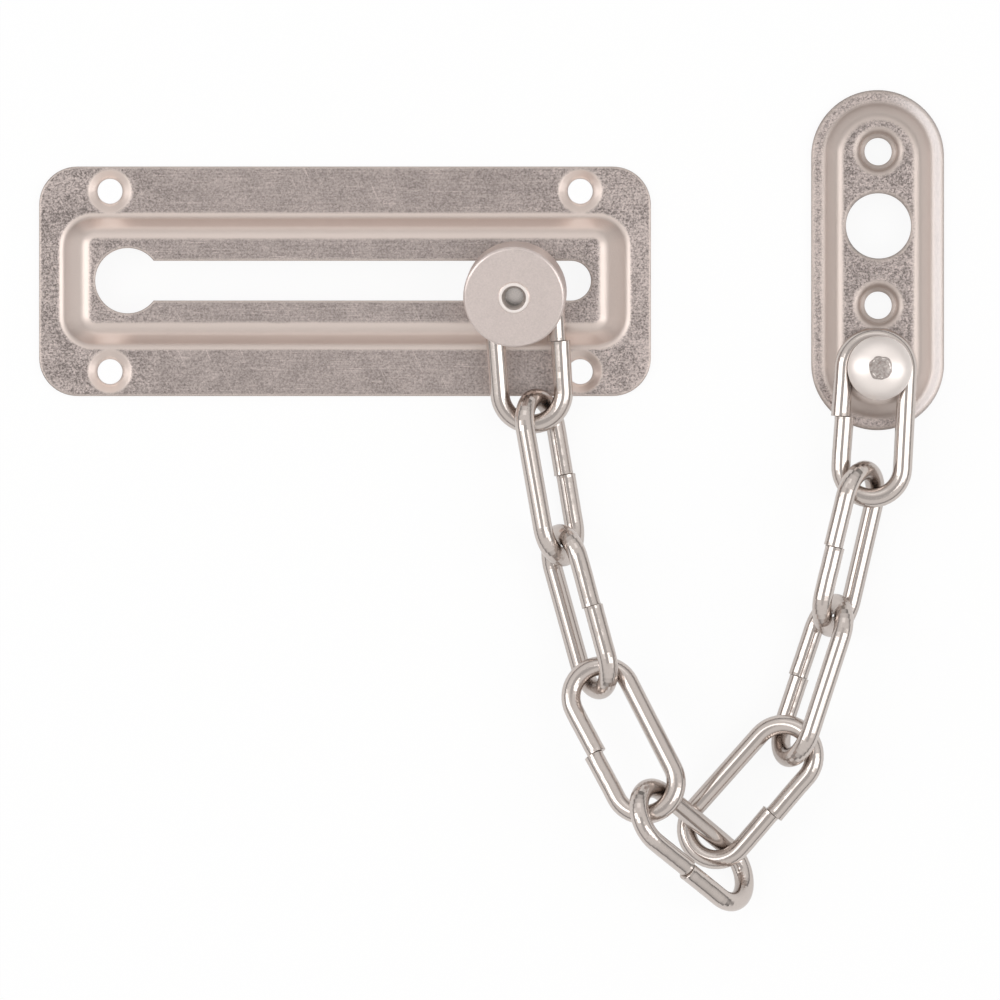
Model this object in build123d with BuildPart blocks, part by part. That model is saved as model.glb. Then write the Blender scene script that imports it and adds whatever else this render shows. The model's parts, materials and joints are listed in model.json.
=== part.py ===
"""A surface-mounted door chain: slotted track plate, sliding knob, nine wire links and an anchor plate.

It lies on its mounting faces, on Z = 0, with +Z away from the door. The origin is the middle of the track
plate's four screw holes, on the plate's back. +X runs along the track, from the keyhole to the chain.
"""

from build123d import *
import math
import os

# Track plate, a pressed sheet
sheet = 1.2
channel_length = 111.0
channel_width = 25.3
channel_corner = 6.0
channel_height = 6.0
channel_side_run = 3.05
channel_end_run = 4.65
channel_top_corner = 2.6
channel_bend = 3.5
channel_foot_bend = 1.8
track_end_flange = 4.5
track_side_flange = 9.85
track_corner = 7.5
track_hole = 4.9
track_hole_from_end = 13.85
track_hole_from_side = 4.8
track_sink = 8.4
track_sink_angle = 116.0
keyhole = 12.8
keyhole_from_channel_end = 13.1
slot_width = 7.8
slot_from_channel_end = 7.3

# Knob and the rivet that holds it, loose in the slot
knob_from_slot_end = 14.2
knob_y = -0.7
knob_lean_forward = 12.4
knob_lean_side = 3.8
knob_diameter = 19.8
knob_thickness = 7.0
knob_rim = 0.6
knob_back_rim = 0.4
knob_throat = 9.3
knob_shank = 4.6
knob_flange = 12.0
knob_flange_thickness = 1.5
rivet_bore = 3.6
rivet_bore_depth = 3.0
rivet_lip = 6.2
rivet_lip_mouth = 4.8
rivet_lip_height = 0.35
rivet_fit = 0.05

# Chain of bent wire
wire = 3.75
link_width = 15.8
link_length = 35.1
joint_gap = 0.12
joint_step = 0.4
play = 0.15
floor_play = 0.05
neck_play = 0.2

# How each link lies, in degrees and millimetres: heading in plan, rise of its far end, roll that lifts the
# leg on its left, and how far its near end stands back, aside and up from a tight fit in the link before it.
# Side is the leg that holds the butt joint, 1 for the left one.
link_lie = {
    1: dict(heading=-85.5, rise=-3.8, roll=0, slack=0, aside=1.2, lift=0, side=1),
    2: dict(heading=-80, rise=1, roll=-60, slack=0.9, aside=0.7, lift=0.4, side=1),
    3: dict(heading=-74.5, rise=4, roll=64, slack=0.5, aside=0.1, lift=-0.1, side=1),
    4: dict(heading=-63, rise=14, roll=4, slack=0.6, aside=-1.2, lift=-0.8, side=-1),
    5: dict(heading=-40.5, rise=-30, roll=-48, slack=1.5, aside=-3.5, lift=0.6, side=-1),
    6: dict(heading=48.5, rise=4, roll=-13, slack=0.8, aside=0, lift=0.1, side=-1),
    7: dict(heading=72, rise=-1, roll=-66, slack=2.0, aside=-0.8, lift=1.0, side=1),
    8: dict(heading=77, rise=1, roll=60, slack=0.8, aside=0.2, lift=-0.2, side=1),
    9: dict(heading=87, rise=0, roll=0, slack=1.3, aside=-1.2, lift=-0.8, side=1),
}
# Link 6 has slipped along link 5 and hangs on its left leg, this far past the leg's middle
slipped_link = 6
slip_along_leg = 5.0

# Anchor plate and the rivet that holds the last link
anchor_length = 66.7
anchor_width = 26.0
anchor_base_width = 21.1
anchor_height = 5.0
anchor_wall_run = 2.8
anchor_bend = 2.3
anchor_hole = 5.4
anchor_hole_pitch = 30.1
anchor_seat = 6.9
anchor_sink_depth = 1.6
anchor_sink_run = 0.7
anchor_sink_bend = 1.2
anchor_hole_from_rivet = 12.4
parking_hole = 12.8
parking_from_hole = 15.5
anchor_rivet_from_end = 12.05
anchor_rivet_bearing = 16.0
anchor_rivet_off_centre = 0.45
anchor_rivet_shank = 6.0
anchor_rivet_head = 12.6
anchor_rivet_crown = 3.6
anchor_rivet_edge = 0.8
anchor_tail = 8.6
anchor_tail_thickness = 1.0
peen_width = 4.0
peen_height = 0.2

track_length = channel_length + 2 * track_end_flange
track_width = channel_width + 2 * track_side_flange
track_hole_pitch_x = track_length - 2 * track_hole_from_end
track_hole_pitch_y = track_width - 2 * track_hole_from_side
keyhole_x = keyhole_from_channel_end - channel_length / 2
slot_end_x = channel_length / 2 - slot_from_channel_end
knob_x = slot_end_x - knob_from_slot_end

ease_moves = 40
ease_limit = 0.01
link_radius = (link_width - wire) / 2
link_straight = (link_length - link_width) / 2
apex_distance = (link_length - wire) / 2


def link_axes(lie):
    """The directions along a link, level to its left, and from its middle to its left leg."""
    heading = math.radians(lie["heading"])
    rise = math.radians(lie["rise"])
    level_left = Vector(-math.sin(heading), math.cos(heading), 0)
    forward = Vector(math.cos(heading), math.sin(heading), 0)
    along = forward * math.cos(rise) + Vector(0, 0, math.sin(rise))
    return along, level_left, level_left.rotate(Axis((0, 0, 0), along), lie["roll"])


def link_plane(centre, lie):
    """The plane of a link: X along it, Y to the leg on its left, Z out of its flat."""
    along, _, left = link_axes(lie)
    return Plane(centre, x_dir=along, z_dir=along.cross(left))


def wire_path(plane, side):
    """The middle line of a link's wire, from one face of its butt joint round to the other."""
    leg = side * link_radius
    stepped_leg = side * (link_radius + joint_step)
    far_radius = link_radius + joint_step / 2
    with BuildLine(plane) as path:
        Line((-joint_gap / 2, leg), (-link_straight, leg))
        CenterArc((-link_straight, 0), link_radius, side * 90, side * 180)
        Line((-link_straight, -leg), (link_straight, -leg))
        CenterArc((link_straight, side * joint_step / 2), far_radius, -side * 90, side * 180)
        Line((link_straight, stepped_leg), (joint_gap / 2, stepped_leg))
    return path.line


def bend_point(holder, along):
    """Where a pull along a direction meets the middle line of the holder's far bend."""
    in_plane = along - holder.z_dir * along.dot(holder.z_dir)
    return holder.origin + holder.x_dir * link_straight + in_plane.normalized() * link_radius


def hang_link(lie, hold, reach, held, clearance, height=None):
    """The plane of a link hung at a point, eased straight off what holds it and off the floor."""
    along, level_left, _ = link_axes(lie)
    near_end = hold - along * (reach + lie["slack"]) + level_left * lie["aside"] + Vector(0, 0, lie["lift"])
    centre = near_end + along * apex_distance
    for _ in range(ease_moves):
        if height is not None:
            centre = Vector(centre.X, centre.Y, height)
        plane = link_plane(centre, lie)
        loop = wire_path(plane, lie["side"])
        gap, here, there = loop.distance_to_with_closest_points(held)
        shortage = clearance - gap
        sunk = wire / 2 + floor_play - loop.bounding_box().min.Z
        if max(shortage, sunk) < ease_limit:
            break
        if shortage > 0:
            centre += (here - there).normalized() * (shortage + ease_limit / 2)
        if sunk > 0:
            centre += Vector(0, 0, sunk)
    return plane


# Knob axis, leaning from the middle of the slot's edge
slot_edge_z = channel_height - sheet / 2
lean_forward = math.tan(math.radians(knob_lean_forward))
lean_side = math.tan(math.radians(knob_lean_side))
knob_axis = Vector(-lean_side, -lean_forward, 1).normalized()
knob_pivot = Vector(knob_x, knob_y, slot_edge_z)


def on_knob_axis(z):
    """The point of the knob's axis at a height."""
    return knob_pivot + knob_axis * ((z - slot_edge_z) / knob_axis.Z)


# The flange runs half way up the hollow behind the slot
flange_middle = on_knob_axis((channel_height - sheet) / 2)
knob_plane = Plane(flange_middle, x_dir=(1, 0, lean_side), z_dir=knob_axis)
knob_back = flange_middle + knob_axis * (knob_flange_thickness / 2 + knob_throat)

# Link 1 slopes down over the near edge of the channel's flat top and loops round the shank
slope = math.radians(-link_lie[1]["rise"])
channel_rise = channel_height - sheet
side_bend_run = channel_bend * math.tan(math.atan2(channel_rise, channel_side_run) / 2)
flat_top_width = channel_width - 2 * (channel_side_run + side_bend_run)
over_edge_z = channel_height + (wire / 2 + neck_play) / math.cos(slope)
neck = on_knob_axis(over_edge_z + (knob_y + flat_top_width / 2) * math.tan(slope))
shank_line = Edge.make_line(on_knob_axis(channel_height), on_knob_axis(3 * channel_height))
shank_reach = (knob_shank + wire) / 2 + play

link_planes = {1: hang_link(link_lie[1], neck, shank_reach, shank_line, shank_reach)}
link_paths = {1: wire_path(link_planes[1], link_lie[1]["side"])}
link_pivots = {1: neck}
last_link = max(link_lie)
for number in range(2, last_link + 1):
    lie = link_lie[number]
    holder = link_planes[number - 1]
    along = link_axes(lie)[0]
    hold = bend_point(holder, along)
    if number == slipped_link:
        hold = holder.origin + holder.x_dir * slip_along_leg + holder.y_dir * link_radius
    height = anchor_height + wire / 2 + play if number == last_link else None
    reach = wire + play
    link_planes[number] = hang_link(lie, hold, reach, link_paths[number - 1], reach, height)
    link_paths[number] = wire_path(link_planes[number], lie["side"])
    near_end = link_planes[number].origin - along * apex_distance
    link_pivots[number] = (hold + near_end) / 2

# The anchor plate is set where its rivet stands in the last link's far bend, off the bend's centre by a
# share of its free room, towards the right leg and a little ahead
last_plane = link_planes[last_link]
rivet_room = link_radius - (anchor_rivet_shank + wire) / 2 - play
bearing = math.radians(anchor_rivet_bearing)
bend_centre = last_plane.origin + last_plane.x_dir * link_straight
off_centre = last_plane.x_dir * math.sin(bearing) - last_plane.y_dir * math.cos(bearing)
rivet_at = bend_centre + off_centre * (anchor_rivet_off_centre * rivet_room)
anchor_x = rivet_at.X
rivet_y = rivet_at.Y
anchor_y = rivet_y + anchor_length / 2 - anchor_rivet_from_end
lower_hole_y = rivet_y + anchor_hole_from_rivet
upper_hole_y = lower_hole_y + anchor_hole_pitch
parking_y = lower_hole_y + parking_from_hole


def back_growth(run, rise):
    """How much further out a hollow's wall meets the back than the outer wall meets the flange."""
    return (run - math.hypot(run, rise)) * sheet / rise


# Track plate
back_length = channel_length + 2 * back_growth(channel_end_run, channel_rise)
back_width = channel_width + 2 * back_growth(channel_side_run, channel_rise)
back_corner = channel_corner + back_growth(channel_side_run, channel_rise)

with BuildPart() as channel_hollow:
    with BuildSketch():
        RectangleRounded(back_length, back_width, back_corner)
    with BuildSketch(Plane.XY.offset(channel_rise)):
        RectangleRounded(
            back_length - 2 * channel_end_run,
            back_width - 2 * channel_side_run,
            channel_top_corner,
        )
    loft()
    fillet(channel_hollow.faces().sort_by(Axis.Z)[-1].edges(), channel_bend - sheet)

with BuildPart() as track_plate:
    with BuildSketch(Plane.XY.offset(sheet)):
        RectangleRounded(channel_length, channel_width, channel_corner)
    with BuildSketch(Plane.XY.offset(channel_height)):
        RectangleRounded(
            channel_length - 2 * channel_end_run,
            channel_width - 2 * channel_side_run,
            channel_top_corner,
        )
    loft()
    fillet(track_plate.faces().sort_by(Axis.Z)[-1].edges(), channel_bend)
    with BuildSketch():
        RectangleRounded(track_length, track_width, track_corner)
    extrude(amount=sheet)
    wall_foot = track_plate.edges().filter_by_position(Axis.Z, sheet, sheet).filter_by(
        lambda edge: abs(edge.center().X) < channel_length / 2 + 1 and abs(edge.center().Y) < channel_width / 2 + 1
    )
    fillet(wall_foot, channel_foot_bend)
    add(channel_hollow.part, mode=Mode.SUBTRACT)
    with BuildSketch(Plane.XY.offset(channel_rise - channel_bend)) as keyhole_shape:
        with Locations((keyhole_x, 0)):
            Circle(keyhole / 2)
        with Locations(((keyhole_x + slot_end_x - slot_width / 2) / 2, 0)):
            Rectangle(slot_end_x - slot_width / 2 - keyhole_x, slot_width)
        with Locations((slot_end_x - slot_width / 2, 0)):
            Circle(slot_width / 2)
    extrude(amount=2 * channel_height, mode=Mode.SUBTRACT)
    with Locations(Plane.XY.offset(sheet)):
        with GridLocations(track_hole_pitch_x, track_hole_pitch_y, 2, 2):
            CounterSinkHole(track_hole / 2, track_sink / 2, counter_sink_angle=track_sink_angle)

# Knob button, bored for its rivet
button_plane = Plane(knob_back, x_dir=knob_plane.x_dir, z_dir=knob_axis)
with BuildPart() as knob_button:
    with BuildSketch(button_plane):
        Circle(knob_diameter / 2)
        Circle(knob_shank / 2 + rivet_fit, mode=Mode.SUBTRACT)
    extrude(amount=knob_thickness)
    rims = knob_button.edges().filter_by(GeomType.CIRCLE).group_by(SortBy.RADIUS)[-1]
    fillet(rims.sort_by(Axis(knob_back, knob_axis))[-1], knob_rim)
    rims = knob_button.edges().filter_by(GeomType.CIRCLE).group_by(SortBy.RADIUS)[-1]
    chamfer(rims.sort_by(Axis(knob_back, knob_axis))[0], knob_back_rim)

# Knob rivet: flange behind the slot, shank, and a lip rolled over the knob's face
face_at = knob_flange_thickness / 2 + knob_throat + knob_thickness
lip_top = face_at + rivet_lip_height
with BuildPart() as knob_rivet:
    with BuildSketch(Plane(flange_middle, x_dir=knob_plane.x_dir, z_dir=-knob_plane.y_dir)):
        with BuildLine():
            Polyline(
                (0, -knob_flange_thickness / 2),
                (knob_flange / 2, -knob_flange_thickness / 2),
                (knob_flange / 2, knob_flange_thickness / 2),
                (knob_shank / 2, knob_flange_thickness / 2),
                (knob_shank / 2, face_at),
                (rivet_lip / 2, face_at),
                (rivet_lip / 2 - rivet_lip_height / 2, lip_top),
                (rivet_lip_mouth / 2, lip_top),
                (rivet_bore / 2, lip_top - (rivet_lip_mouth - rivet_bore)),
                (rivet_bore / 2, lip_top - rivet_bore_depth),
                (0, lip_top - rivet_bore_depth),
                close=True,
            )
        make_face()
    revolve(axis=Axis(flange_middle, knob_axis))

# Links
links = {}
for number, path in link_paths.items():
    with BuildPart() as link:
        with BuildSketch(Plane(path @ 0, z_dir=path % 0)):
            Circle(wire / 2)
        sweep(path=path)
    links[number] = link.part

# Anchor plate
anchor_rise = anchor_height - sheet
anchor_slope = math.degrees(math.atan(anchor_wall_run / anchor_rise))
anchor_base_length = anchor_length - (anchor_width - anchor_base_width)
anchor_back_width = anchor_base_width + 2 * back_growth(anchor_wall_run, anchor_rise)
anchor_back_length = anchor_base_length + 2 * back_growth(anchor_wall_run, anchor_rise)
anchor_mouth = anchor_seat + 2 * anchor_sink_run
anchor_plane = Plane((anchor_x, anchor_y, 0))

with BuildPart() as anchor_hollow:
    with BuildSketch(anchor_plane):
        SlotOverall(anchor_back_length, anchor_back_width, rotation=90)
    extrude(amount=anchor_rise, taper=anchor_slope)
    fillet(anchor_hollow.faces().sort_by(Axis.Z)[-1].edges(), anchor_bend - sheet)
    with Locations(
        Plane((anchor_x, lower_hole_y, anchor_rise)), Plane((anchor_x, upper_hole_y, anchor_rise))
    ):
        Cone(
            anchor_seat / 2 + sheet,
            anchor_mouth / 2 + sheet,
            anchor_sink_depth,
            align=(Align.CENTER, Align.CENTER, Align.MAX),
            mode=Mode.SUBTRACT,
        )

with BuildPart() as anchor_plate:
    with BuildSketch(anchor_plane.offset(sheet)):
        SlotOverall(anchor_base_length, anchor_base_width, rotation=90)
    extrude(amount=anchor_rise, taper=anchor_slope)
    fillet(anchor_plate.faces().sort_by(Axis.Z)[-1].edges(), anchor_bend)
    with BuildSketch(anchor_plane):
        SlotOverall(anchor_length, anchor_width, rotation=90)
    extrude(amount=sheet)
    add(anchor_hollow.part, mode=Mode.SUBTRACT)
    with Locations(
        Plane((anchor_x, lower_hole_y, anchor_height)), Plane((anchor_x, upper_hole_y, anchor_height))
    ):
        Cone(
            anchor_seat / 2,
            anchor_mouth / 2,
            anchor_sink_depth,
            align=(Align.CENTER, Align.CENTER, Align.MAX),
            mode=Mode.SUBTRACT,
        )
        Hole(anchor_hole / 2)
    mouths = anchor_plate.faces().sort_by(Axis.Z)[-1].inner_wires().edges()
    fillet(mouths, anchor_sink_bend)
    with Locations(Plane((anchor_x, parking_y, anchor_height))):
        Hole(parking_hole / 2)
    with Locations(Plane((anchor_x, rivet_y, anchor_height))):
        Hole(anchor_rivet_shank / 2 + rivet_fit)

# Anchor rivet: domed head over the last link, tail turned over behind the sheet
head_z = anchor_height + wire + 2 * play
dome_z = head_z + anchor_rivet_edge
dome_rise = anchor_rivet_crown - anchor_rivet_edge
dome_radius = ((anchor_rivet_head / 2) ** 2 + dome_rise**2) / (2 * dome_rise)
dome_start = math.degrees(math.acos(anchor_rivet_head / 2 / dome_radius))
tail_z = anchor_rise - anchor_tail_thickness
with BuildPart() as anchor_rivet:
    with BuildSketch(Plane((anchor_x, rivet_y, 0), x_dir=(1, 0, 0), z_dir=(0, -1, 0))):
        with BuildLine():
            Polyline(
                (0, head_z + anchor_rivet_crown),
                (0, tail_z),
                (anchor_tail / 2, tail_z),
                (anchor_tail / 2, anchor_rise),
                (anchor_rivet_shank / 2, anchor_rise),
                (anchor_rivet_shank / 2, head_z),
                (anchor_rivet_head / 2, head_z),
                (anchor_rivet_head / 2, dome_z),
            )
            CenterArc(
                (0, head_z + anchor_rivet_crown - dome_radius), dome_radius, dome_start, 90 - dome_start
            )
        make_face()
    revolve(axis=Axis((anchor_x, rivet_y, 0), (0, 0, 1)))
    rim = anchor_rivet.edges().filter_by_position(Axis.Z, dome_z, dome_z)
    fillet(rim, anchor_rivet_edge / 2)
    with BuildSketch(Plane((anchor_x, rivet_y, dome_z))):
        Circle(peen_width / 2)
    extrude(amount=dome_rise + peen_height)
    fillet(anchor_rivet.faces().sort_by(Axis.Z)[-1].edges(), peen_height / 2)

os.makedirs("parts", exist_ok=True)
pieces = {
    "track_plate": track_plate.part,
    "knob_button": knob_button.part,
    "knob_rivet": knob_rivet.part,
    "anchor_plate": anchor_plate.part,
    "anchor_rivet": anchor_rivet.part,
}
for number, link_part in links.items():
    pieces[f"link_{number}"] = link_part
for name, piece in pieces.items():
    piece.label = name
    export_step(piece, f"parts/{name}.step")
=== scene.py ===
"""Door chain in satin nickel: finishes, wire links and a plain white table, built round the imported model."""

import json
import math
import random

import bmesh
import bpy
from mathutils import Matrix, Vector, noise

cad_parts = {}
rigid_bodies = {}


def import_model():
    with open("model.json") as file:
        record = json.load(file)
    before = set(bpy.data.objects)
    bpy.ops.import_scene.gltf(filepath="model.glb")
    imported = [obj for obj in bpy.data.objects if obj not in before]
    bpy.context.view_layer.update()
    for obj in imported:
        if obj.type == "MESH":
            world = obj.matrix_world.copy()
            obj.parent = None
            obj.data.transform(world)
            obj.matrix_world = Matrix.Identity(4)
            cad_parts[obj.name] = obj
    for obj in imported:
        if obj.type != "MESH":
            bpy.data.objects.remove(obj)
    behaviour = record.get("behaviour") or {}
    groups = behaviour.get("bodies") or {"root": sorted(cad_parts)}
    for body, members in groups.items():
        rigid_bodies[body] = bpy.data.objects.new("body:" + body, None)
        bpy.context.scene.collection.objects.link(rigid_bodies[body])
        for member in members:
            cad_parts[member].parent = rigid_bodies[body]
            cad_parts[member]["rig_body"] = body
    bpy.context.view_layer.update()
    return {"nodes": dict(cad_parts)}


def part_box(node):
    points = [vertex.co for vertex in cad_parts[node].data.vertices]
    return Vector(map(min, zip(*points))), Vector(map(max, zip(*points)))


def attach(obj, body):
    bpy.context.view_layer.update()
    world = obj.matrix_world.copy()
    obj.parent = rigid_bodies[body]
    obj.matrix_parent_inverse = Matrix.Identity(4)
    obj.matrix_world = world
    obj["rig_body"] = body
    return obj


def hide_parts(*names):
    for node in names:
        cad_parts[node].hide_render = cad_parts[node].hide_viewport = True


bl_info = {
    "name": "Door Chain",
    "version": (1, 0, 0),
    "blender": (4, 5, 0),
    "location": "View3D > Sidebar > Door Chain",
    "description": "Finishes and detail for a surface-mounted door chain",
    "category": "Object",
}

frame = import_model()

MM = 0.001

LINKS = sorted(
    (name for name in frame["nodes"] if name.startswith("link_")),
    key=lambda name: int(name.split("_")[1]),
)
WIRE_SIDES = 32
BEND_STEPS = 24
LEG_STEPS = 6
TOOL_MARKS = 3
MARK_SEED = 9
SPECKS_PER_METRE = 1500.0
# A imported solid's loose triangles are merged, and its flat faces joined, within these
MERGE_DISTANCE = 0.001 * MM
FLAT_ANGLE = math.radians(0.2)

# The speckle fades from the flanges between the first two heights and comes back on the tops between
# the other two, and the dimples' seats between them stay smooth
SEAT_LEVELS = (1.8 * MM, 4.0 * MM)
TOP_LEVELS = (SEAT_LEVELS[1] + 0.4 * MM, SEAT_LEVELS[1] + 0.7 * MM)
# How far out from the track's middle the speckle turns coarse, and how far right the flats carry painted light
COARSE_REACH = (28 * MM, 56 * MM)
PAINTED_LIGHT_REACH = (46 * MM, 58 * MM)
# Where the track plate's finish gives way to the anchor plate's, and where that one's outer flange is smooth
# and carries painted light
TRACK_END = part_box("track_plate")[1][0]
ANCHOR_REACH = (TRACK_END, TRACK_END + 10 * MM)
ANCHOR_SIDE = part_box("anchor_plate")[1][0]
FLANGE_LIGHT_REACH = (ANCHOR_SIDE - 13 * MM, ANCHOR_SIDE - 3 * MM)
# How upright the sheet's normal is on a flat, and how far it leans over on a wall along the track, which gets
# painted light
LEVEL_NORMAL = (0.975, 0.999)
LEANING_NORMAL = (0.45, 0.8)
ANCHOR_WALL_SHADE = 0.82

PEEN_FLATNESS = 0.15
# The peened end's lobes and lumps: how deep, how close together, and where in the noise they lie
PEEN_LOBES = (0.2, 1.7)
PEEN_LUMPS = (0.3, 4.5)
PEEN_PLACE = Vector((3.1, 0.4, 7.7))

# The photograph looks straight down on the table, and its frame is this wide there
PHOTO_CENTRE = (0.0304, -0.0429)
PHOTO_FIELD = 0.1963
CAMERA_HEIGHT = 1.5
SENSOR_WIDTH = 36.0

TABLE_REACH = 4.0
# Each soft box: its name, its place, its width and height, and its power in watts
LAMPS = (
    ("left", (-0.95, 0.1, 1.05), (0.5, 1.3), 4.2),
    ("right", (0.95, -0.15, 1.15), (0.5, 1.3), 4.2),
    ("top", (0.0, 0.9, 0.9), (0.9, 0.25), 0.3),
)
# How bright the room is, from its horizon at 0 to straight overhead at 1
ROOM_SHADES = (
    (0.0, 0.36),
    (0.05, 0.2),
    (0.13, 0.2),
    (0.2, 0.62),
    (0.5, 0.9),
    (0.88, 0.9),
    (0.94, 0.6),
    (1.0, 0.58),
)
ROOM_TINT = (1.0, 0.99, 0.98)


class PlateFinish(bpy.types.PropertyGroup):
    """Pressed sheet: tumbled flats, smooth walls."""

    flat_dark: bpy.props.FloatVectorProperty(
        name="Flat, dark", description="Dark of the speckled flats", subtype="COLOR", size=3,
        min=0.0, max=1.0, default=(0.215, 0.185, 0.175),
    )
    flat_light: bpy.props.FloatVectorProperty(
        name="Flat, light", description="Light of the speckled flats", subtype="COLOR", size=3,
        min=0.0, max=1.0, default=(0.66, 0.57, 0.54),
    )
    wall: bpy.props.FloatVectorProperty(
        name="Wall", description="Colour of the smooth pressed walls", subtype="COLOR", size=3,
        min=0.0, max=1.0, default=(0.72, 0.625, 0.575),
    )
    track_roll: bpy.props.FloatProperty(
        name="Track roll", description="How far the track plate's bends and edges roll off",
        default=0.8 * MM, min=0.05 * MM, max=3 * MM, unit="LENGTH", precision=5,
    )
    anchor_roll: bpy.props.FloatProperty(
        name="Anchor roll", description="How far the anchor plate's bends and edges roll off",
        default=1.5 * MM, min=0.05 * MM, max=3 * MM, unit="LENGTH", precision=5,
    )
    # Painted light: the walls that run along the track are painted lighter, in place of light falling on them
    lit_long_wall: bpy.props.FloatVectorProperty(
        name="Long wall", description="Colour of the walls that run along the track", subtype="COLOR",
        size=3, min=0.0, max=1.0, default=(0.94, 0.80, 0.73),
    )
    # Painted light: the anchor plate's outer flange is painted smooth and lighter, as the light falls brighter
    # there
    polished_and_lit: bpy.props.FloatVectorProperty(
        name="Polished and lit", description="Colour of the anchor plate's outer flange, rubbed smooth",
        subtype="COLOR", size=3, min=0.0, max=1.0, default=(0.93, 0.86, 0.84),
    )
    grain: bpy.props.FloatProperty(
        name="Grain", description="Size of one speckle of the flats", default=0.26 * MM, min=0.05 * MM,
        max=5 * MM, unit="LENGTH", precision=5,
    )


class KnobFinish(bpy.types.PropertyGroup):
    """Turned knob, satin all over."""

    face: bpy.props.FloatVectorProperty(
        name="Face", description="Colour of the satin face", subtype="COLOR", size=3,
        min=0.0, max=1.0, default=(0.77, 0.675, 0.64),
    )
    grain: bpy.props.FloatProperty(
        name="Grain", description="Size of the fine grain", default=0.25 * MM, min=0.05 * MM,
        max=5 * MM, unit="LENGTH", precision=5,
    )


class RivetFinish(bpy.types.PropertyGroup):
    """Rivet heads: polished, with a rough peened end on the anchor plate's."""

    colour: bpy.props.FloatVectorProperty(
        name="Colour", description="Colour of the polished heads", subtype="COLOR", size=3,
        min=0.0, max=1.0, default=(0.95, 0.88, 0.84),
    )
    peened: bpy.props.FloatVectorProperty(
        name="Peened", description="Colour of the rough peened end", subtype="COLOR", size=3,
        min=0.0, max=1.0, default=(0.26, 0.21, 0.19),
    )
    peen_width: bpy.props.FloatProperty(
        name="Peen width", description="Width of the peened end", default=4.6 * MM, min=1 * MM, max=8 * MM,
        unit="LENGTH", precision=5,
    )
    peen_rise: bpy.props.FloatProperty(
        name="Peen rise", description="How far the peened end stands over the head", default=0.18 * MM,
        min=0.0, max=1 * MM, unit="LENGTH", precision=5,
    )


class WireFinish(bpy.types.PropertyGroup):
    """Drawn wire of the links."""

    colour: bpy.props.FloatVectorProperty(
        name="Colour", description="Colour of the polished wire", subtype="COLOR", size=3,
        min=0.0, max=1.0, default=(0.60, 0.54, 0.505),
    )
    # Colour of the wire's dull specks, and also of the painted shade where the links come close
    dull_and_shade: bpy.props.FloatVectorProperty(
        name="Tarnish", description="Colour of the dull specks", subtype="COLOR", size=3,
        min=0.0, max=1.0, default=(0.30, 0.25, 0.22),
    )
    cut_bevel: bpy.props.FloatProperty(
        name="Cut bevel", description="Edge taken off the wire's cut ends", default=0.08 * MM, min=0.02 * MM,
        max=1 * MM, unit="LENGTH", precision=5,
    )
    burr: bpy.props.FloatProperty(
        name="Burr", description="How far the cut ends are spread", default=0.04 * MM, min=0.0, max=0.5 * MM,
        unit="LENGTH", precision=5,
    )
    burr_reach: bpy.props.FloatProperty(
        name="Burr reach", description="Length of the spread end", default=0.55 * MM, min=0.1 * MM,
        max=3 * MM, unit="LENGTH", precision=5,
    )
    tool_mark: bpy.props.FloatProperty(
        name="Tool mark", description="How far the bending tool pushed the wire aside", default=0.02 * MM,
        min=0.0, max=0.5 * MM, unit="LENGTH", precision=5,
    )
    kick: bpy.props.FloatProperty(
        name="Kick", description="How far each cut end was knocked off its leg's line", default=0.16 * MM,
        min=0.0, max=0.5 * MM, unit="LENGTH", precision=5,
    )
    seam: bpy.props.FloatProperty(
        name="Seam", description="Gap left between the cut ends", default=0.03 * MM, min=0.0, max=0.12 * MM,
        unit="LENGTH", precision=5,
    )
    mark_reach: bpy.props.FloatProperty(
        name="Mark reach", description="Length of wire that the tool marked", default=6.5 * MM, min=0.5 * MM,
        max=9 * MM, unit="LENGTH", precision=5,
    )


class StageSettings(bpy.types.PropertyGroup):
    """Table, lamps and world."""

    floor_shade: bpy.props.FloatProperty(
        name="Floor", description="How bright the table is under the lamps", default=0.9, min=0.0, max=1.0,
        subtype="FACTOR",
    )
    shadow_share: bpy.props.FloatProperty(
        name="Shadow", description="How much of the table's shading shows", default=0.1, min=0.0,
        max=1.0, subtype="FACTOR",
    )
    mirrored_share: bpy.props.FloatProperty(
        name="Mirrored", description="How white the table is in the metal", default=0.35, min=0.0,
        max=1.0, subtype="FACTOR",
    )


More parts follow.
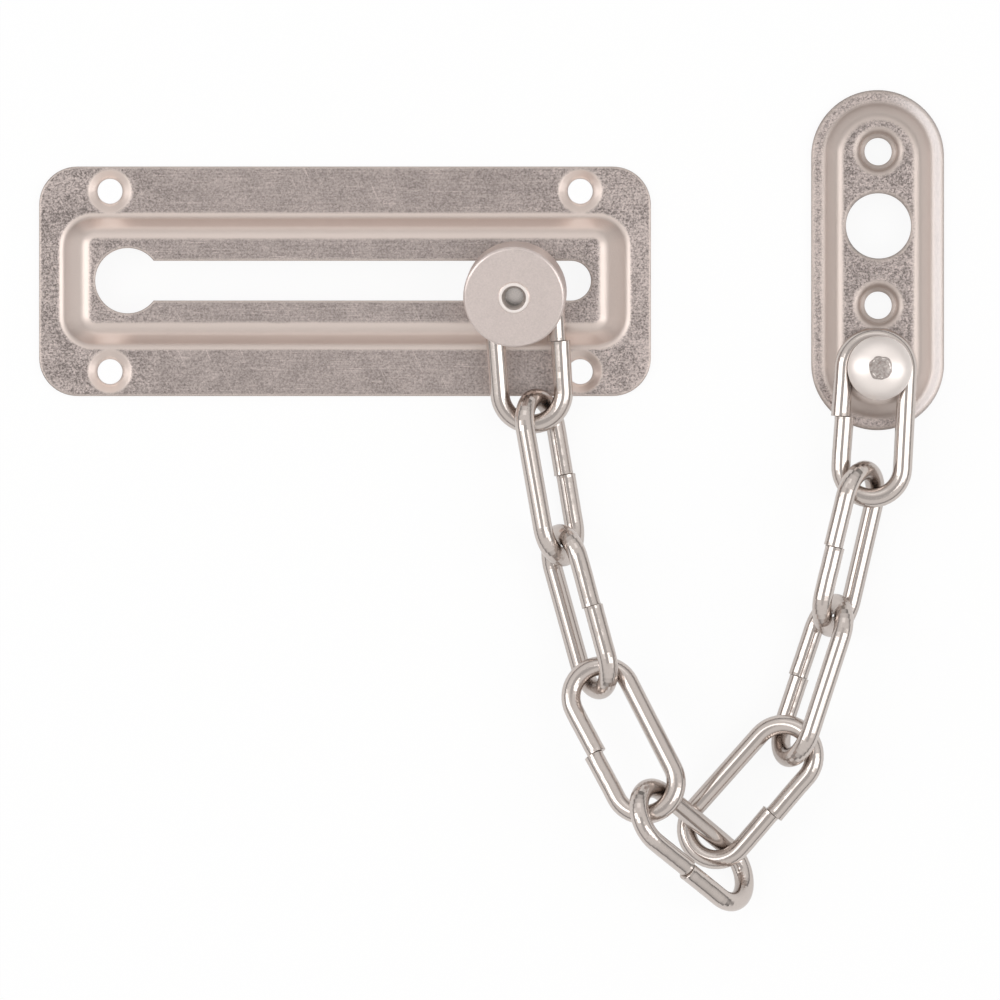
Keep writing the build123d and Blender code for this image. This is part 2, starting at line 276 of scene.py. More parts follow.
class NodeTree:
    """A node tree with short ways to add and join nodes."""

    def __init__(self, tree):
        self.tree = tree

    def add(self, kind, **values):
        """A new node with its sockets set by name, and its own settings by name after an underscore."""
        node = self.tree.nodes.new(kind)
        for name, value in values.items():
            if name.startswith("_"):
                setattr(node, name[1:], value)
            else:
                node.inputs[name.replace("_", " ")].default_value = value
        return node

    def join(self, source, target):
        """Links an output to an input."""
        self.tree.links.new(source, target)

    def feed(self, socket, value):
        """Links an output to an input, or sets the input to a plain value."""
        if isinstance(value, bpy.types.NodeSocket):
            self.join(value, socket)
        else:
            socket.default_value = value

    def maths(self, operation, first, second=0.0, clamp=False):
        """The result of one sum, whose terms are outputs or numbers."""
        node = self.add("ShaderNodeMath", _operation=operation, _use_clamp=clamp)
        self.feed(node.inputs[0], first)
        self.feed(node.inputs[1], second)
        return node.outputs[0]

    def plus(self, first, second, clamp=False):
        return self.maths("ADD", first, second, clamp)

    def less(self, first, second):
        return self.maths("SUBTRACT", first, second)

    def times(self, first, second, clamp=False):
        return self.maths("MULTIPLY", first, second, clamp)

    def over(self, first, second):
        return self.maths("DIVIDE", first, second)

    def step(self, value, low, high, to_low=0.0, to_high=1.0):
        """A smooth change from to_low to to_high as a value goes from low to high."""
        node = self.add(
            "ShaderNodeMapRange", _interpolation_type="SMOOTHSTEP",
            From_Min=low, From_Max=high, To_Min=to_low, To_Max=to_high,
        )
        self.join(value, node.inputs["Value"])
        return node.outputs["Result"]

    def mix(self, share, first, second):
        """A colour part of the way from one to another, each an output or three numbers."""
        node = self.add("ShaderNodeMix", _data_type="RGBA")
        self.feed(node.inputs[0], share)
        for socket, colour in ((node.inputs[6], first), (node.inputs[7], second)):
            self.feed(socket, colour if isinstance(colour, bpy.types.NodeSocket) else (*colour, 1.0))
        return node.outputs[2]

    def soft_noise(self, place, scale, detail, roughness):
        """Noise about a half, over a place."""
        node = self.add("ShaderNodeTexNoise", Detail=detail, Roughness=roughness)
        self.join(place, node.inputs["Vector"])
        self.feed(node.inputs["Scale"], scale)
        return node.outputs["Fac"]

    def stretched(self, place, along, across, deep):
        """A place scaled by a number for each axis, so that noise over it runs in streaks."""
        size = self.add("ShaderNodeCombineXYZ")
        for axis, value in zip("XYZ", (along, across, deep)):
            self.feed(size.inputs[axis], value)
        scaled = self.add("ShaderNodeVectorMath", _operation="MULTIPLY")
        self.join(place, scaled.inputs[0])
        self.join(size.outputs["Vector"], scaled.inputs[1])
        return scaled.outputs["Vector"]


def new_group(name, inputs, outputs):
    """A shader node group with named sockets, and its tree."""
    group = bpy.data.node_groups.new(name, "ShaderNodeTree")
    for title, kind, value in inputs:
        socket = group.interface.new_socket(title, in_out="INPUT", socket_type=kind)
        if value is not None:
            socket.default_value = value
    for title, kind in outputs:
        group.interface.new_socket(title, in_out="OUTPUT", socket_type=kind)
    tree = NodeTree(group)
    return group, tree, group.nodes.new("NodeGroupInput"), group.nodes.new("NodeGroupOutput")


def tumbled_group():
    """Grain of small facets turned every way, left by tumbling with the plating media."""
    group, tree, start, end = new_group(
        "Tumbled Metal",
        (("Vector", "NodeSocketVector", None), ("Grain", "NodeSocketFloat", 0.4 * MM)),
        (("Speckle", "NodeSocketFloat"), ("Height", "NodeSocketFloat")),
    )
    place = start.outputs["Vector"]
    scale = tree.over(1.0, start.outputs["Grain"])
    facets = tree.add("ShaderNodeTexVoronoi")
    tree.join(place, facets.inputs["Vector"])
    tree.join(scale, facets.inputs["Scale"])
    facet = tree.add("ShaderNodeSeparateColor")
    tree.join(facets.outputs["Color"], facet.inputs["Color"])
    fine = tree.soft_noise(place, tree.times(scale, 0.6), 4.0, 0.75)
    broad = tree.soft_noise(place, tree.times(scale, 0.05), 2.0, 0.5)
    clouds = tree.step(fine, 0.25, 0.75)
    drift = tree.step(broad, 0.3, 0.7, -0.07, 0.07)
    speckle = tree.plus(tree.times(facet.outputs["Red"], 0.45), drift)
    speckle = tree.plus(speckle, tree.times(clouds, 0.55), clamp=True)
    tree.join(speckle, end.inputs["Speckle"])
    tree.join(tree.plus(fine, facet.outputs["Green"]), end.inputs["Height"])
    return group


def scratch_group():
    """Hairline scratches that run one way, as a mask."""
    group, tree, start, end = new_group(
        "Hairline Scratches",
        (
            ("Vector", "NodeSocketVector", None),
            ("Turn", "NodeSocketVector", (0.0, 0.0, 0.0)),
            ("Length", "NodeSocketFloat", 6 * MM),
            ("Width", "NodeSocketFloat", 0.12 * MM),
            ("Amount", "NodeSocketFloat", 0.3),
        ),
        (("Mask", "NodeSocketFloat"),),
    )
    turned = tree.add("ShaderNodeVectorRotate", _rotation_type="EULER_XYZ")
    tree.join(start.outputs["Vector"], turned.inputs["Vector"])
    tree.join(start.outputs["Turn"], turned.inputs["Rotation"])
    along = tree.over(1.0, start.outputs["Length"])
    across = tree.over(1.0, start.outputs["Width"])
    streaks = tree.soft_noise(tree.stretched(turned.outputs["Vector"], along, across, across), 1.0, 1.0, 0.5)
    edge = tree.less(0.86, tree.times(start.outputs["Amount"], 0.4))
    tree.join(tree.times(tree.less(streaks, edge), 9.0, clamp=True), end.inputs["Mask"])
    return group


def brushed_group():
    """Fine lines of a brush that ran one way, as a shade about nought."""
    group, tree, start, end = new_group(
        "Brushed Metal",
        (
            ("Vector", "NodeSocketVector", None),
            ("Length", "NodeSocketFloat", 10 * MM),
            ("Width", "NodeSocketFloat", 0.2 * MM),
        ),
        (("Shade", "NodeSocketFloat"),),
    )
    along = tree.over(1.0, start.outputs["Length"])
    across = tree.over(1.0, start.outputs["Width"])
    brush_lines = tree.soft_noise(tree.stretched(start.outputs["Vector"], along, across, 0.0), 1.0, 3.0, 0.7)
    tree.join(tree.less(brush_lines, 0.5), end.inputs["Shade"])
    return group


def rim_group():
    """Where a sharp edge rounds off: the rounded normal leaves the true one, and the mask marks that edge."""
    group, tree, start, end = new_group(
        "Rounded Rim",
        (("Reach", "NodeSocketFloat", 0.3 * MM),),
        (("Mask", "NodeSocketFloat"), ("Normal", "NodeSocketVector")),
    )
    bevel = tree.add("ShaderNodeBevel", _samples=6)
    tree.join(start.outputs["Reach"], bevel.inputs["Radius"])
    true = tree.add("ShaderNodeNewGeometry")
    dot = tree.add("ShaderNodeVectorMath", _operation="DOT_PRODUCT")
    tree.join(bevel.outputs["Normal"], dot.inputs[0])
    tree.join(true.outputs["Normal"], dot.inputs[1])
    tree.join(tree.step(dot.outputs["Value"], 0.995, 0.85), end.inputs["Mask"])
    tree.join(bevel.outputs["Normal"], end.inputs["Normal"])
    return group


def cavity_group():
    """Painted shade in corners, recesses and where pieces come close, from how little of the room each point
    sees.
    """
    group, tree, start, end = new_group(
        "Cavity Shade",
        (("Reach", "NodeSocketFloat", 2 * MM),),
        (("Mask", "NodeSocketFloat"),),
    )
    open_sky = tree.add("ShaderNodeAmbientOcclusion", _samples=6)
    tree.join(start.outputs["Reach"], open_sky.inputs["Distance"])
    tree.join(tree.step(open_sky.outputs["AO"], 0.62, 0.12), end.inputs["Mask"])
    return group


GROUPS = {
    "Tumbled Metal": tumbled_group,
    "Hairline Scratches": scratch_group,
    "Brushed Metal": brushed_group,
    "Rounded Rim": rim_group,
    "Cavity Shade": cavity_group,
}


def place_group(tree, name, **sockets):
    """A node group in a tree, made the first time it is asked for, with its sockets set or joined."""
    node = tree.add("ShaderNodeGroup")
    node.node_tree = bpy.data.node_groups.get(name) or GROUPS[name]()
    for title, value in sockets.items():
        tree.feed(node.inputs[title], value)
    return node


def metal_material(name):
    """A new metal: the material, its tree, its Principled shader and the place on the piece."""
    material = bpy.data.materials.new(name)
    material.use_nodes = True
    tree = NodeTree(material.node_tree)
    shader = material.node_tree.nodes["Principled BSDF"]
    shader.inputs["Metallic"].default_value = 1.0
    coordinates = tree.add("ShaderNodeTexCoord")
    return material, tree, shader, coordinates.outputs["Object"]


def bumped(tree, shader, height, normal, strength, distance):
    """Joins a height and a base normal to the shader through one Bump node."""
    bump = tree.add("ShaderNodeBump", Strength=strength, Distance=distance)
    tree.join(height, bump.inputs["Height"])
    tree.join(normal, bump.inputs["Normal"])
    tree.join(bump.outputs["Normal"], shader.inputs["Normal"])


def shaded(colour, share):
    """A colour at a share of its light."""
    return tuple(share * value for value in colour)


def flat_speckle_and_light(tree, place, where, tumbled, anchor_top):
    """How light each spot of the flats is: tumbled grain, scratches, the lines of a brush, and painted light
    towards the right end.
    """
    along = place_group(
        tree, "Hairline Scratches", Vector=place, Length=8 * MM, Width=0.16 * MM, Amount=0.6
    )
    stray = place_group(
        tree, "Hairline Scratches", Vector=place, Turn=(0.0, 0.0, 1.15),
        Length=9 * MM, Width=0.28 * MM, Amount=0.36,
    )
    brushed = place_group(tree, "Brushed Metal", Vector=place, Length=12 * MM, Width=0.35 * MM)
    coarse = tree.step(tree.maths("ABSOLUTE", where.outputs["X"]), *COARSE_REACH, 0.8, 1.7)
    speckle = tree.times(tree.less(tumbled.outputs["Speckle"], 0.5), coarse)
    speckle = tree.plus(speckle, tree.times(along.outputs["Mask"], 0.3))
    speckle = tree.plus(speckle, tree.times(stray.outputs["Mask"], 0.6))
    speckle = tree.plus(speckle, tree.times(brushed.outputs["Shade"], 0.45))
    speckle = tree.less(speckle, tree.times(anchor_top, 0.2))
    # Painted light: the flats are painted lighter towards the right end, where more light falls
    painted_light_tone = tree.step(where.outputs["X"], *PAINTED_LIGHT_REACH, 0.47, 0.62)
    return tree.plus(speckle, painted_light_tone, clamp=True)


def wall_shade(tree, finish, facing, tumbled, on_anchor):
    """Colour of the walls: painted light on the walls along the track, darkest round the anchor plate."""
    # Painted light on the walls that face out along the track's sides
    lit_lengthwise = tree.step(tree.maths("ABSOLUTE", facing.outputs["Y"]), *LEANING_NORMAL)
    lit_lengthwise = tree.times(lit_lengthwise, tree.less(1.0, on_anchor))
    colour = tree.mix(tree.times(tumbled.outputs["Speckle"], 0.2), finish.wall, finish.flat_light)
    colour = tree.mix(lit_lengthwise, colour, finish.lit_long_wall)
    return tree.mix(on_anchor, colour, shaded(finish.wall, ANCHOR_WALL_SHADE))


def plate_material(finish, name, roll):
    """Pressed plate: speckled, brushed and scratched flats, smooth walls, and bends that roll off softly;
    painted light on the right-hand flats, the long walls and the anchor's outer flange, and painted shade
    along sharp edges and in recesses.
    """
    material, tree, shader, place = metal_material(name)
    tumbled = place_group(tree, "Tumbled Metal", Vector=place, Grain=finish.grain)
    rim = place_group(tree, "Rounded Rim", Reach=roll)
    # Mask of the sharp edges, for a painted dark line
    edge = place_group(tree, "Rounded Rim", Reach=0.3 * MM)
    cavity_shade = place_group(tree, "Cavity Shade", Reach=2.5 * MM)
    where = tree.add("ShaderNodeSeparateXYZ")
    tree.join(place, where.inputs["Vector"])
    facing = tree.add("ShaderNodeSeparateXYZ")
    tree.join(rim.outputs["Normal"], facing.inputs["Vector"])
    flange = tree.step(where.outputs["Z"], *reversed(SEAT_LEVELS))
    top = tree.step(where.outputs["Z"], *TOP_LEVELS)
    level = tree.step(facing.outputs["Z"], *LEVEL_NORMAL)
    flat = tree.times(level, tree.plus(flange, top, clamp=True))
    on_anchor = tree.step(where.outputs["X"], *ANCHOR_REACH)
    speckle = flat_speckle_and_light(tree, place, where, tumbled, tree.times(top, on_anchor))
    flat_colour = tree.mix(speckle, finish.flat_dark, finish.flat_light)
    # Painted light on the anchor plate's outer flange, which also takes away its speckle
    outer = tree.times(tree.step(where.outputs["X"], *FLANGE_LIGHT_REACH), flange)
    flat_colour = tree.mix(tree.times(outer, 0.85), flat_colour, finish.polished_and_lit)
    colour = tree.mix(flat, wall_shade(tree, finish, facing, tumbled, on_anchor), flat_colour)
    # Painted shade: a dark line is painted along the plate's sharp edges
    colour = tree.mix(tree.times(edge.outputs["Mask"], 0.4), colour, finish.flat_dark)
    # Painted shade in the plate's recesses and corners
    colour = tree.mix(tree.times(cavity_shade.outputs["Mask"], 0.6), colour, finish.flat_dark)
    tree.join(colour, shader.inputs["Base Color"])
    rough = tree.less(0.42, tree.times(flat, 0.12))
    rough = tree.plus(rough, tree.times(tree.times(speckle, flat), 0.14))
    tree.join(rough, shader.inputs["Roughness"])
    bumped(tree, shader, tumbled.outputs["Height"], rim.outputs["Normal"], 0.25, 0.06 * MM)
    return material


def knob_material(finish):
    """Satin turned face with a fine even grain, and painted shade in its bore."""
    material, tree, shader, place = metal_material("Knob Nickel")
    tumbled = place_group(tree, "Tumbled Metal", Vector=place, Grain=finish.grain)
    rim = place_group(tree, "Rounded Rim", Reach=0.2 * MM)
    cavity_shade = place_group(tree, "Cavity Shade", Reach=2.5 * MM)
    colour = tree.mix(tumbled.outputs["Speckle"], shaded(finish.face, 0.86), finish.face)
    # Painted shade in the knob's bore and recesses
    colour = tree.mix(tree.times(cavity_shade.outputs["Mask"], 0.8), colour, shaded(finish.face, 0.3))
    tree.join(colour, shader.inputs["Base Color"])
    rough = tree.plus(0.32, tree.times(tumbled.outputs["Speckle"], 0.08))
    tree.join(rough, shader.inputs["Roughness"])
    bumped(tree, shader, tumbled.outputs["Height"], rim.outputs["Normal"], 0.12, 0.03 * MM)
    return material


def rivet_material(finish):
    """Polished head, with painted shade in its bore."""
    material, tree, shader, place = metal_material("Rivet Nickel")
    tumbled = place_group(tree, "Tumbled Metal", Vector=place, Grain=0.5 * MM)
    rim = place_group(tree, "Rounded Rim", Reach=0.2 * MM)
    cavity_shade = place_group(tree, "Cavity Shade", Reach=4 * MM)
    # Painted shade: the rivet's bore and recesses are painted this dark
    dark = shaded(finish.colour, 0.12)
    colour = tree.mix(tree.times(cavity_shade.outputs["Mask"], 0.9), finish.colour, dark)
    tree.join(colour, shader.inputs["Base Color"])
    rough = tree.plus(0.36, tree.times(tumbled.outputs["Speckle"], 0.08))
    tree.join(rough, shader.inputs["Roughness"])
    bumped(tree, shader, tumbled.outputs["Height"], rim.outputs["Normal"], 0.1, 0.03 * MM)
    return material


def peened_material(finish):
    """Metal crushed by the riveting tool."""
    material, tree, shader, place = metal_material("Peened Nickel")
    shader.inputs["Roughness"].default_value = 0.42
    tumbled = place_group(tree, "Tumbled Metal", Vector=place, Grain=0.35 * MM)
    crest = shaded(finish.colour, 0.6)
    tree.join(tree.mix(tumbled.outputs["Speckle"], finish.peened, crest), shader.inputs["Base Color"])
    geometry = tree.add("ShaderNodeNewGeometry")
    bumped(tree, shader, tumbled.outputs["Height"], geometry.outputs["Normal"], 0.5, 0.1 * MM)
    return material


def wire_material(finish):
    """Polished drawn wire with dull specks, and painted shade where the links come close."""
    material, tree, shader, place = metal_material("Wire Nickel")
    tumbled = place_group(tree, "Tumbled Metal", Vector=place, Grain=0.6 * MM)
    cavity_shade = place_group(tree, "Cavity Shade", Reach=2.2 * MM)
    specks = tree.step(tree.soft_noise(place, SPECKS_PER_METRE, 2.0, 0.6), 0.68, 0.78, 0.0, 0.4)
    # dull holds the wire's real dull specks and the painted shade where links come close
    dull = tree.maths("MAXIMUM", specks, tree.times(cavity_shade.outputs["Mask"], 0.6))
    tree.join(tree.mix(dull, finish.colour, finish.dull_and_shade), shader.inputs["Base Color"])
    rough = tree.plus(0.13, tree.times(tumbled.outputs["Speckle"], 0.06))
    tree.join(tree.plus(rough, tree.times(dull, 0.2)), shader.inputs["Roughness"])
    geometry = tree.add("ShaderNodeNewGeometry")
    bumped(tree, shader, tumbled.outputs["Height"], geometry.outputs["Normal"], 0.07, 0.03 * MM)
    return material


def dress(node, material):
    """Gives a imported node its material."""
    piece = frame["nodes"][node]
    piece.data.materials.clear()
    piece.data.materials.append(material)


class DOORCHAIN_OT_plates(bpy.types.Operator):
    """Finish the track plate and the anchor plate"""

    bl_idname = "doorchain.plates"
    bl_label = "Plates"

    def execute(self, context):
        finish = context.scene.doorchain_plate
        dress("track_plate", plate_material(finish, "Track Nickel", finish.track_roll))
        dress("anchor_plate", plate_material(finish, "Anchor Nickel", finish.anchor_roll))
        return {"FINISHED"}


class DOORCHAIN_OT_knob(bpy.types.Operator):
    """Finish the knob"""

    bl_idname = "doorchain.knob"
    bl_label = "Knob"

    def execute(self, context):
        dress("knob_button", knob_material(context.scene.doorchain_knob))
        return {"FINISHED"}


def peened_end(settings):
    """The rough end of the anchor plate's rivet, spread by the riveting tool over its head."""
    low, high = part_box("anchor_rivet")
    top = Vector(((low[0] + high[0]) / 2, (low[1] + high[1]) / 2, high[2] + settings.peen_rise))
    reach = settings.peen_width / 2
    thickness = PEEN_FLATNESS * reach
    shape = bmesh.new()
    bmesh.ops.create_icosphere(shape, subdivisions=5, radius=1.0)
    for vert in shape.verts:
        lobes = 1.0 + PEEN_LOBES[0] * noise.noise(vert.co * PEEN_LOBES[1] + PEEN_PLACE)
        lumps = 1.0 + PEEN_LUMPS[0] * noise.noise(vert.co * PEEN_LUMPS[1] + PEEN_PLACE)
        vert.co *= Vector((reach * lobes, reach * lobes, thickness * lumps))
    highest = max(vert.co.z for vert in shape.verts)
    bmesh.ops.translate(shape, vec=top - Vector((0.0, 0.0, highest)), verts=shape.verts)
    for face in shape.faces:
        face.smooth = True
    mesh = bpy.data.meshes.new("peened_end")
    shape.to_mesh(mesh)
    shape.free()
    return bpy.data.objects.new("peened_end", mesh)


class DOORCHAIN_OT_rivets(bpy.types.Operator):
    """Finish the two rivets, and add the peened end"""

    bl_idname = "doorchain.rivets"
    bl_label = "Rivets"

    def execute(self, context):
        settings = context.scene.doorchain_rivet
        material = rivet_material(settings)
        for node in ("knob_rivet", "anchor_rivet"):
            dress(node, material)
        piece = peened_end(settings)
        piece.data.materials.append(peened_material(settings))
        context.scene.collection.objects.link(piece)
        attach(piece, frame["nodes"]["anchor_rivet"]["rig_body"])
        return {"FINISHED"}


def roundness(face):
    """How nearly a face fills the circle round it."""
    middle = face.calc_center_median()
    reach = max((vert.co - middle).length for vert in face.verts)
    return face.calc_area() / (math.pi * reach * reach)


def wire_ends(node):
    """The two cut faces of a link's wire, the stepped leg's last: middle, outward normal and radius."""
    solid = bmesh.new()
    solid.from_mesh(frame["nodes"][node].data)
    bmesh.ops.remove_doubles(solid, verts=solid.verts, dist=MERGE_DISTANCE)
    bmesh.ops.dissolve_limit(solid, angle_limit=FLAT_ANGLE, verts=solid.verts, edges=solid.edges)
    faces = sorted(solid.faces, key=roundness)[-2:]
    points = [vert.co.copy() for vert in solid.verts]
    ends = []
    for face in faces:
        middle = sum((vert.co for vert in face.verts), Vector()) / len(face.verts)
        radius = max((vert.co - middle).length for vert in face.verts)
        ends.append((middle, face.normal.copy(), radius))
    solid.free()
    centre = sum(points, Vector()) / len(points)
    ends.sort(key=lambda end: (end[0] - centre).length)
    return ends, points


def link_shape(node):
    """The directions and sizes of a link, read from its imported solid."""
    (near, far), points = wire_ends(node)
    ahead = near[1]
    gap = (far[0] - near[0]).dot(ahead)
    outward = far[0] - near[0] - ahead * gap
    step = outward.length
    outward.normalize()
    wire = near[2]
    spread = [(point - near[0]).dot(outward) for point in points]
    reach = [(point - near[0]).dot(ahead) for point in points]
    bend = (max(spread) - min(spread) - 2 * wire - step) / 2
    straight = (max(reach) - min(reach) - 2 * bend - 2 * wire - step / 2) / 2
    origin = near[0] + ahead * (gap / 2) - outward * bend
    turn = Matrix((ahead, outward, ahead.cross(outward))).transposed().to_4x4()
    return Matrix.Translation(origin) @ turn, wire, bend, straight, step


def drawn_on(shape, ring, offset, grow=1.0):
    """Extrudes a ring of the wire by an offset, and widens the new ring about its own middle."""
    grown = bmesh.ops.extrude_edge_only(shape, edges=ring)["geom"]
    verts = [part for part in grown if isinstance(part, bmesh.types.BMVert)]
    bmesh.ops.translate(shape, vec=offset, verts=verts)
    middle = sum((vert.co for vert in verts), Vector()) / len(verts)
    bmesh.ops.scale(shape, vec=(grow, grow, grow), verts=verts, space=Matrix.Translation(-middle))
    return [part for part in grown if isinstance(part, bmesh.types.BMEdge)]


def bent_round(shape, ring, centre):
    """Carries a ring of the wire half way round a bend."""
    swept = bmesh.ops.spin(
        shape, geom=ring, cent=centre, axis=(0.0, 0.0, 1.0), angle=math.pi, steps=BEND_STEPS, use_merge=False
    )
    return [part for part in swept["geom_last"] if isinstance(part, bmesh.types.BMEdge)]


def pushed_aside(shape, ring, settings, rough_cut):
    """Draws the wire on along its leg, where the bending tool pushed it to and fro, and outwards in all."""
    pitch = settings.mark_reach / (2 * TOOL_MARKS)
    outward = settings.kick / (2 * TOOL_MARKS)
    for _ in range(TOOL_MARKS):
        across = rough_cut.uniform(-1.0, 1.0) * settings.tool_mark
        upward = rough_cut.uniform(-1.0, 1.0) * settings.tool_mark
        ring = drawn_on(shape, ring, (-pitch, outward + across, upward))
        ring = drawn_on(shape, ring, (-pitch, outward - across, -upward))
    return ring


def wire_link(node, settings, rough_cut):
    """One link: wire bent round to a butt joint, with spread ends and the marks of the bending tool."""
    matrix, wire, bend, straight, step = link_shape(node)
    bevel = settings.cut_bevel
    spread = wire + settings.burr
    shape = bmesh.new()
    start = Matrix.Translation((-settings.seam / 2, bend - settings.kick, 0.0))
    start @= Matrix.Rotation(math.pi / 2, 4, "Y")
    bmesh.ops.create_circle(shape, cap_ends=True, radius=wire - bevel, segments=WIRE_SIDES, matrix=start)
    cut = list(shape.edges)
    for edge in cut:
        edge.smooth = False
    run = straight - settings.seam / 2 - bevel - settings.burr_reach
    ring = drawn_on(shape, cut, (-bevel, 0.0, 0.0), spread / (wire - bevel))
    ring = drawn_on(shape, ring, (-settings.burr_reach, 0.0, 0.0), wire / spread)
    ring = pushed_aside(shape, ring, settings, rough_cut)
    ring = drawn_on(shape, ring, (settings.mark_reach - run, 0.0, 0.0))
    ring = bent_round(shape, ring, (-straight, 0.0, 0.0))
    for _ in range(LEG_STEPS):
        ring = drawn_on(shape, ring, (2 * straight / LEG_STEPS, 0.0, 0.0))
    ring = bent_round(shape, ring, (straight, step / 2, 0.0))
    ring = drawn_on(shape, ring, (settings.mark_reach - run, 0.0, 0.0))
    ring = pushed_aside(shape, ring, settings, rough_cut)
    ring = drawn_on(shape, ring, (-settings.burr_reach, 0.0, 0.0), spread / wire)
    ring = drawn_on(shape, ring, (-bevel, 0.0, 0.0), (wire - bevel) / spread)
    for edge in ring:
        edge.smooth = False
    bmesh.ops.edgeloop_fill(shape, edges=ring)
    bmesh.ops.transform(shape, matrix=matrix, verts=shape.verts)
    bmesh.ops.recalc_face_normals(shape, faces=shape.faces)
    for face in shape.faces:
        face.smooth = len(face.verts) == 4
    mesh = bpy.data.meshes.new("wire_" + node)
    shape.to_mesh(mesh)
    shape.free()
    return bpy.data.objects.new("wire_" + node, mesh)


class DOORCHAIN_OT_links(bpy.types.Operator):
    """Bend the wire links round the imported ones"""

    bl_idname = "doorchain.links"
    bl_label = "Links"

    def execute(self, context):
        settings = context.scene.doorchain_wire
        material = wire_material(settings)
        rough_cut = random.Random(MARK_SEED)
        for node in LINKS:
            piece = wire_link(node, settings, rough_cut)
            piece.data.materials.append(material)
            context.scene.collection.objects.link(piece)
            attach(piece, frame["nodes"][node]["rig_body"])
            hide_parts(node)
        return {"FINISHED"}


def add_camera(scene):
    """The camera of the photograph, straight above the table."""
    data = bpy.data.cameras.new("camera")
    data.sensor_width = SENSOR_WIDTH
    data.lens = SENSOR_WIDTH * CAMERA_HEIGHT / PHOTO_FIELD
    camera = bpy.data.objects.new("camera", data)
    camera.location = (*PHOTO_CENTRE, CAMERA_HEIGHT)
    scene.collection.objects.link(camera)
    scene.camera = camera


def add_floor(scene, settings):
    """A plain table, which shows white and keeps a soft shadow."""
    material = bpy.data.materials.new("Table")
    material.use_nodes = True
    tree = NodeTree(material.node_tree)
    material.node_tree.nodes.clear()
    shade = settings.floor_shade
    diffuse = tree.add("ShaderNodeBsdfDiffuse", Color=(shade, shade, shade, 1.0))
    white = tree.add("ShaderNodeEmission", Color=(1.0, 1.0, 1.0, 1.0), Strength=1.0)
    path = tree.add("ShaderNodeLightPath")
    mirrored = tree.times(path.outputs["Is Glossy Ray"], settings.mirrored_share)
    seen = tree.plus(path.outputs["Is Camera Ray"], mirrored, clamp=True)
    seen = tree.plus(seen, path.outputs["Is Transmission Ray"], clamp=True)
    share = tree.times(seen, 1.0 - settings.shadow_share)
    mixed = tree.add("ShaderNodeMixShader")
    tree.join(share, mixed.inputs[0])
    tree.join(diffuse.outputs[0], mixed.inputs[1])
    tree.join(white.outputs[0], mixed.inputs[2])
    end = tree.add("ShaderNodeOutputMaterial")
    tree.join(mixed.outputs[0], end.inputs["Surface"])
    mesh = bpy.data.meshes.new("table")
    shape = bmesh.new()
    bmesh.ops.create_grid(shape, x_segments=1, y_segments=1, size=TABLE_REACH)
    shape.to_mesh(mesh)
    shape.free()
    mesh.materials.append(material)
    table = bpy.data.objects.new("table", mesh)
    scene.collection.objects.link(table)


def add_lamp(scene, name, place, size, power):
    """A soft box, turned to the middle of the object."""
    data = bpy.data.lights.new(name, "AREA")
    data.shape = "RECTANGLE"
    data.size, data.size_y = size
    data.energy = power
    lamp = bpy.data.objects.new(name, data)
    lamp.location = place
    aim = Vector((*PHOTO_CENTRE, 0.0)) - Vector(place)
    lamp.rotation_mode = "QUATERNION"
    lamp.rotation_quaternion = aim.to_track_quat("-Z", "Y")
    scene.collection.objects.link(lamp)


def set_world(scene):
    """A white room with a darker ceiling and a dark line at its horizon, which metal shows as streaks."""
    world = bpy.data.worlds.new("studio")
    world.use_nodes = True
    scene.world = world
    tree = NodeTree(world.node_tree)
    world.node_tree.nodes.clear()
    coordinates = tree.add("ShaderNodeTexCoord")
    split = tree.add("ShaderNodeSeparateXYZ")
    tree.join(coordinates.outputs["Generated"], split.inputs["Vector"])
    ramp = tree.add("ShaderNodeValToRGB")
    while len(ramp.color_ramp.elements) < len(ROOM_SHADES):
        ramp.color_ramp.elements.new(0.5)
    for element, (height, shade) in zip(ramp.color_ramp.elements, ROOM_SHADES):
        element.position = height
        element.color = (*shaded(ROOM_TINT, shade), 1.0)
    tree.join(split.outputs["Z"], ramp.inputs["Fac"])
    room = tree.add("ShaderNodeBackground", Strength=1.0)
    tree.join(ramp.outputs["Color"], room.inputs["Color"])
    backdrop = tree.add("ShaderNodeBackground", Strength=1.0)
    path = tree.add("ShaderNodeLightPath")
    mixed = tree.add("ShaderNodeMixShader")
    tree.join(path.outputs["Is Camera Ray"], mixed.inputs[0])
    tree.join(room.outputs[0], mixed.inputs[1])
    tree.join(backdrop.outputs[0], mixed.inputs[2])
    end = tree.add("ShaderNodeOutputWorld")
    tree.join(mixed.outputs[0], end.inputs["Surface"])


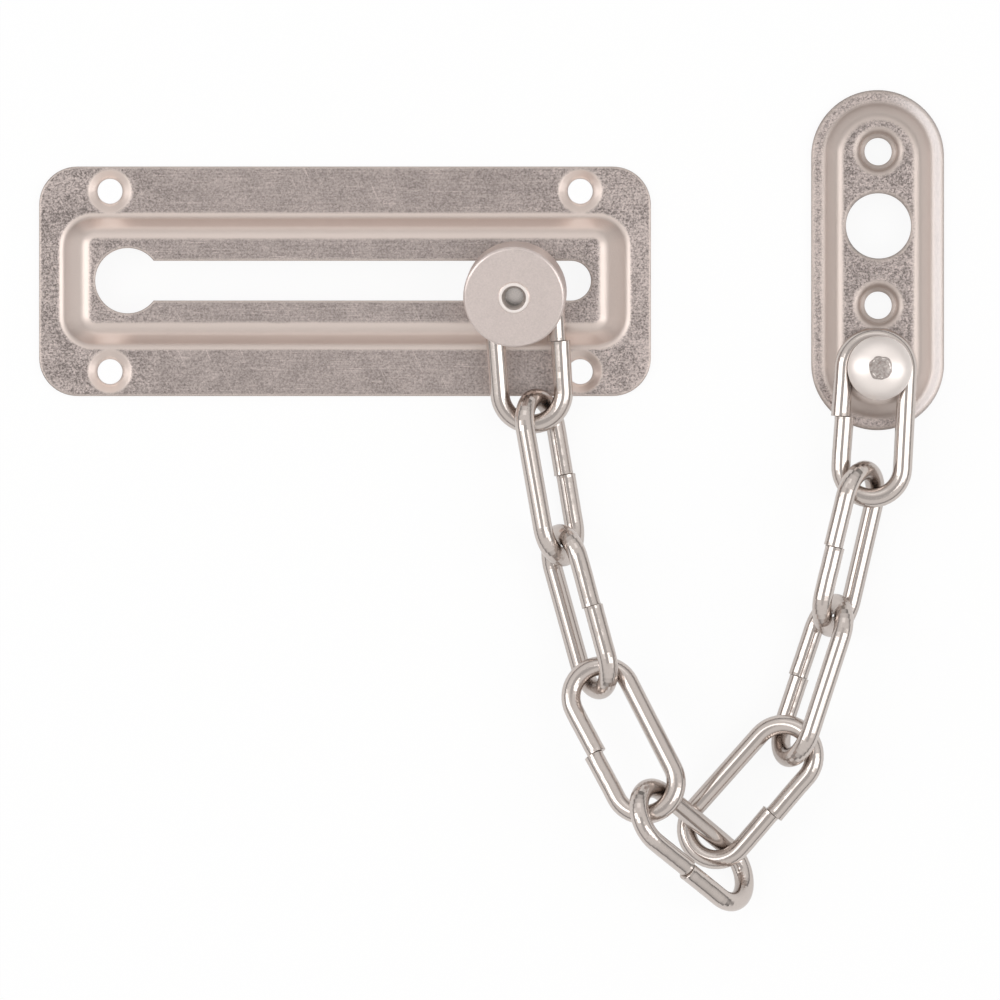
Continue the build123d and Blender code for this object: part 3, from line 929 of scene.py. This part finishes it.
class DOORCHAIN_OT_stage(bpy.types.Operator):
    """Set the camera, the table, the lamps and the room"""

    bl_idname = "doorchain.stage"
    bl_label = "Stage"

    def execute(self, context):
        scene = context.scene
        scene.view_settings.view_transform = "Standard"
        add_camera(scene)
        add_floor(scene, scene.doorchain_stage)
        for name, place, size, power in LAMPS:
            add_lamp(scene, name, place, size, power)
        set_world(scene)
        return {"FINISHED"}


class DOORCHAIN_PT_sidebar(bpy.types.Panel):
    """Build the pieces of the door chain, and set their finish"""

    bl_label = "Door Chain"
    bl_idname = "DOORCHAIN_PT_sidebar"
    bl_space_type = "VIEW_3D"
    bl_region_type = "UI"
    bl_category = "Door Chain"

    def draw(self, context):
        layout = self.layout
        for operator in OPERATORS:
            layout.operator(operator.bl_idname)
        for name, group in SETTINGS.items():
            box = layout.box()
            for field in group.__annotations__:
                box.prop(getattr(context.scene, name), field)


OPERATORS = (
    DOORCHAIN_OT_stage,
    DOORCHAIN_OT_plates,
    DOORCHAIN_OT_knob,
    DOORCHAIN_OT_rivets,
    DOORCHAIN_OT_links,
)
SETTINGS = {
    "doorchain_plate": PlateFinish,
    "doorchain_knob": KnobFinish,
    "doorchain_rivet": RivetFinish,
    "doorchain_wire": WireFinish,
    "doorchain_stage": StageSettings,
}


def register():
    for name, group in SETTINGS.items():
        bpy.utils.register_class(group)
        setattr(bpy.types.Scene, name, bpy.props.PointerProperty(type=group))
    for kind in (*OPERATORS, DOORCHAIN_PT_sidebar):
        bpy.utils.register_class(kind)


def unregister():
    for kind in (DOORCHAIN_PT_sidebar, *reversed(OPERATORS)):
        bpy.utils.unregister_class(kind)
    for name, group in reversed(SETTINGS.items()):
        delattr(bpy.types.Scene, name)
        bpy.utils.unregister_class(group)


def main():
    """Builds every piece."""
    register()
    bpy.ops.doorchain.stage()
    bpy.ops.doorchain.plates()
    bpy.ops.doorchain.knob()
    bpy.ops.doorchain.rivets()
    bpy.ops.doorchain.links()


if __name__ == "__main__":
    main()
